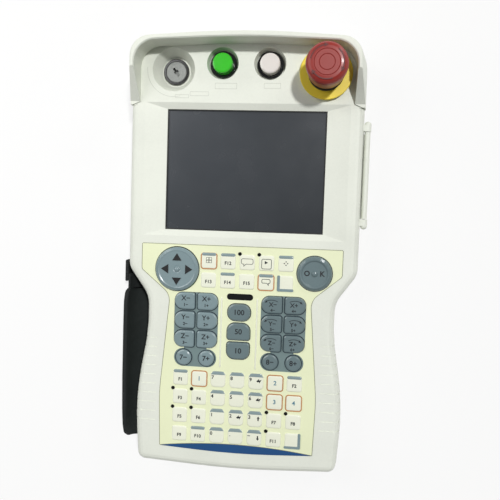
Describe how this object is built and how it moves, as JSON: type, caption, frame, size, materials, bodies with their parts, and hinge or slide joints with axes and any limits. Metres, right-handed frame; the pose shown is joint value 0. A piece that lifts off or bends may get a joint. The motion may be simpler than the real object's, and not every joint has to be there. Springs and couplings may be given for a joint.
{
  "type": "teach pendant",
  "caption": "Hand-held robot teach pendant: waisted housing with a screen, a membrane keypad with raised jog keys, a guarded row of switches, an emergency stop and a hand strap.",
  "frame": {"origin": "centre of the flat rear face that the pendant lies on", "axes": "+X to the user's right, +Y along the pendant towards the guarded switch end, +Z out of the front panel"},
  "size_m": [0.1799, 0.3145, 0.065],
  "materials": {
    "white_plastic": "satin",
    "cream_film": "satin",
    "slate_plastic": "gloss",
    "slate_plate": "satin",
    "black_plastic": "satin",
    "black_rubber": "matte",
    "screen_glass": "gloss",
    "steel": "satin",
    "sheet_metal": "satin",
    "circuit_board": "satin",
    "yellow_plastic": "gloss",
    "red_plastic": "satin",
    "green_lens": "gloss",
    "white_lens": "gloss",
    "blue_film": "gloss",
    "strap_fabric": "matte"
  },
  "bodies": {
    "housing": {"front_case": "white_plastic", "rear_case": "white_plastic", "top_guard": "white_plastic", "case_seal": "black_rubber", "case_screws": "steel", "screen_gasket": "black_rubber", "touch_panel": "screen_glass", "lcd_module": "black_plastic", "lcd_bracket": "sheet_metal", "main_board": "circuit_board", "keypad_board": "circuit_board", "inner_screws": "steel", "keypad_film": "cream_film", "trim_band": "blue_film", "jog_plate_left": "slate_plate", "jog_plate_right": "slate_plate", "mode_switch_body": "black_plastic", "start_switch_body": "black_plastic", "hold_switch_body": "black_plastic", "switch_nuts": "steel", "estop_plate": "yellow_plastic", "estop_body": "black_plastic", "estop_nut": "steel", "card_socket": "black_plastic", "door_hinge_pin": "steel", "hand_strap": "strap_fabric", "strap_tail": "strap_fabric", "strap_anchors": "black_plastic", "enable_switch_body": "black_plastic", "enable_lever_pin": "steel", "cable_inlet": "black_rubber"},
    "mode_lock_body": {"mode_lock": "steel"},
    "start_button_body": {"start_button": "green_lens"},
    "hold_button_body": {"hold_button": "white_lens"},
    "estop_shaft_body": {"estop_shaft": "black_plastic"},
    "estop_head_body": {"estop_head": "red_plastic"},
    "enable_lever_body": {"enable_lever": "black_plastic"},
    "card_door_body": {"card_door": "white_plastic"},
    "cursor_ball_body": {"cursor_ball": "steel"},
    "cursor_key_body": {"cursor_key": "slate_plastic"},
    "select_key_body": {"select_key": "slate_plastic"},
    "jog_x_minus_body": {"jog_x_minus": "slate_plastic"},
    "jog_x_plus_body": {"jog_x_plus": "slate_plastic"},
    "jog_y_minus_body": {"jog_y_minus": "slate_plastic"},
    "jog_y_plus_body": {"jog_y_plus": "slate_plastic"},
    "jog_z_minus_body": {"jog_z_minus": "slate_plastic"},
    "jog_z_plus_body": {"jog_z_plus": "slate_plastic"},
    "jog_e_minus_body": {"jog_e_minus": "slate_plastic"},
    "jog_e_plus_body": {"jog_e_plus": "slate_plastic"},
    "turn_x_minus_body": {"turn_x_minus": "slate_plastic"},
    "turn_x_plus_body": {"turn_x_plus": "slate_plastic"},
    "turn_y_minus_body": {"turn_y_minus": "slate_plastic"},
    "turn_y_plus_body": {"turn_y_plus": "slate_plastic"},
    "turn_z_minus_body": {"turn_z_minus": "slate_plastic"},
    "turn_z_plus_body": {"turn_z_plus": "slate_plastic"},
    "axis_8_minus_body": {"axis_8_minus": "slate_plastic"},
    "axis_8_plus_body": {"axis_8_plus": "slate_plastic"},
    "speed_key_upper_body": {"speed_key_upper": "slate_plastic"},
    "speed_key_middle_body": {"speed_key_middle": "slate_plastic"},
    "speed_key_lower_body": {"speed_key_lower": "slate_plastic"}
  },
  "joints": [
    {"name": "jog_x_minus_press", "type": "slide", "parent": "housing", "child": "jog_x_minus_body", "axis": [0, 0, 1], "range_m": [-0.0008, 0], "stiffness_N_per_m": 1500},
    {"name": "jog_x_plus_press", "type": "slide", "parent": "housing", "child": "jog_x_plus_body", "axis": [0, 0, 1], "range_m": [-0.0008, 0], "stiffness_N_per_m": 1500},
    {"name": "jog_y_minus_press", "type": "slide", "parent": "housing", "child": "jog_y_minus_body", "axis": [0, 0, 1], "range_m": [-0.0008, 0], "stiffness_N_per_m": 1500},
    {"name": "jog_y_plus_press", "type": "slide", "parent": "housing", "child": "jog_y_plus_body", "axis": [0, 0, 1], "range_m": [-0.0008, 0], "stiffness_N_per_m": 1500},
    {"name": "jog_z_minus_press", "type": "slide", "parent": "housing", "child": "jog_z_minus_body", "axis": [0, 0, 1], "range_m": [-0.0008, 0], "stiffness_N_per_m": 1500},
    {"name": "jog_z_plus_press", "type": "slide", "parent": "housing", "child": "jog_z_plus_body", "axis": [0, 0, 1], "range_m": [-0.0008, 0], "stiffness_N_per_m": 1500},
    {"name": "jog_e_minus_press", "type": "slide", "parent": "housing", "child": "jog_e_minus_body", "axis": [0, 0, 1], "range_m": [-0.0008, 0], "stiffness_N_per_m": 1500},
    {"name": "jog_e_plus_press", "type": "slide", "parent": "housing", "child": "jog_e_plus_body", "axis": [0, 0, 1], "range_m": [-0.0008, 0], "stiffness_N_per_m": 1500},
    {"name": "turn_x_minus_press", "type": "slide", "parent": "housing", "child": "turn_x_minus_body", "axis": [0, 0, 1], "range_m": [-0.0008, 0], "stiffness_N_per_m": 1500},
    {"name": "turn_x_plus_press", "type": "slide", "parent": "housing", "child": "turn_x_plus_body", "axis": [0, 0, 1], "range_m": [-0.0008, 0], "stiffness_N_per_m": 1500},
    {"name": "turn_y_minus_press", "type": "slide", "parent": "housing", "child": "turn_y_minus_body", "axis": [0, 0, 1], "range_m": [-0.0008, 0], "stiffness_N_per_m": 1500},
    {"name": "turn_y_plus_press", "type": "slide", "parent": "housing", "child": "turn_y_plus_body", "axis": [0, 0, 1], "range_m": [-0.0008, 0], "stiffness_N_per_m": 1500},
    {"name": "turn_z_minus_press", "type": "slide", "parent": "housing", "child": "turn_z_minus_body", "axis": [0, 0, 1], "range_m": [-0.0008, 0], "stiffness_N_per_m": 1500},
    {"name": "turn_z_plus_press", "type": "slide", "parent": "housing", "child": "turn_z_plus_body", "axis": [0, 0, 1], "range_m": [-0.0008, 0], "stiffness_N_per_m": 1500},
    {"name": "axis_8_minus_press", "type": "slide", "parent": "housing", "child": "axis_8_minus_body", "axis": [0, 0, 1], "range_m": [-0.0008, 0], "stiffness_N_per_m": 1500},
    {"name": "axis_8_plus_press", "type": "slide", "parent": "housing", "child": "axis_8_plus_body", "axis": [0, 0, 1], "range_m": [-0.0008, 0], "stiffness_N_per_m": 1500},
    {"name": "speed_key_upper_press", "type": "slide", "parent": "housing", "child": "speed_key_upper_body", "axis": [0, 0, 1], "range_m": [-0.0008, 0], "stiffness_N_per_m": 1500},
    {"name": "speed_key_middle_press", "type": "slide", "parent": "housing", "child": "speed_key_middle_body", "axis": [0, 0, 1], "range_m": [-0.0008, 0], "stiffness_N_per_m": 1500},
    {"name": "speed_key_lower_press", "type": "slide", "parent": "housing", "child": "speed_key_lower_body", "axis": [0, 0, 1], "range_m": [-0.0008, 0], "stiffness_N_per_m": 1500},
    {"name": "select_key_press", "type": "slide", "parent": "housing", "child": "select_key_body", "axis": [0, 0, 1], "range_m": [-0.0008, 0], "stiffness_N_per_m": 1500},
    {"name": "start_button_press", "type": "slide", "parent": "housing", "child": "start_button_body", "axis": [0, 0, 1], "range_m": [-0.003, 0], "stiffness_N_per_m": 1200},
    {"name": "hold_button_press", "type": "slide", "parent": "housing", "child": "hold_button_body", "axis": [0, 0, 1], "range_m": [-0.003, 0], "stiffness_N_per_m": 1200},
    {"name": "estop_shaft_press", "type": "slide", "parent": "housing", "child": "estop_shaft_body", "axis": [0, 0, 1], "range_m": [-0.004, 0], "stiffness_N_per_m": 4000},
    {"name": "estop_twist", "type": "hinge", "parent": "estop_shaft_body", "child": "estop_head_body", "pos_m": [0.0559, 0.13305, 0.058], "axis": [0, 0, 1], "range_deg": [-45, 0], "stiffness_Nm_per_rad": 0.05},
    {"name": "mode_turn", "type": "hinge", "parent": "housing", "child": "mode_lock_body", "pos_m": [-0.0528, 0.13525, 0.02], "axis": [0, 0, 1], "range_deg": [-45, 45]},
    {"name": "enable_squeeze", "type": "hinge", "parent": "housing", "child": "enable_lever_body", "pos_m": [-0.0526, -0.07225, 0.0066], "axis": [0, 1, 0], "range_deg": [0, 12], "stiffness_Nm_per_rad": 1},
    {"name": "door_swing", "type": "hinge", "parent": "housing", "child": "card_door_body", "pos_m": [0.0869, 0.06345, 0.0224], "axis": [0, -1, 0], "range_deg": [0, 105]},
    {"name": "cursor_tilt_up_down", "type": "hinge", "parent": "housing", "child": "cursor_ball_body", "pos_m": [-0.0466, -0.00825, 0.0252], "axis": [1, 0, 0], "range_deg": [-3, 3], "stiffness_Nm_per_rad": 0.2},
    {"name": "cursor_tilt_left_right", "type": "hinge", "parent": "cursor_ball_body", "child": "cursor_key_body", "pos_m": [-0.0466, -0.00825, 0.0252], "axis": [0, 1, 0], "range_deg": [-3, 3], "stiffness_Nm_per_rad": 0.2}
  ]
}
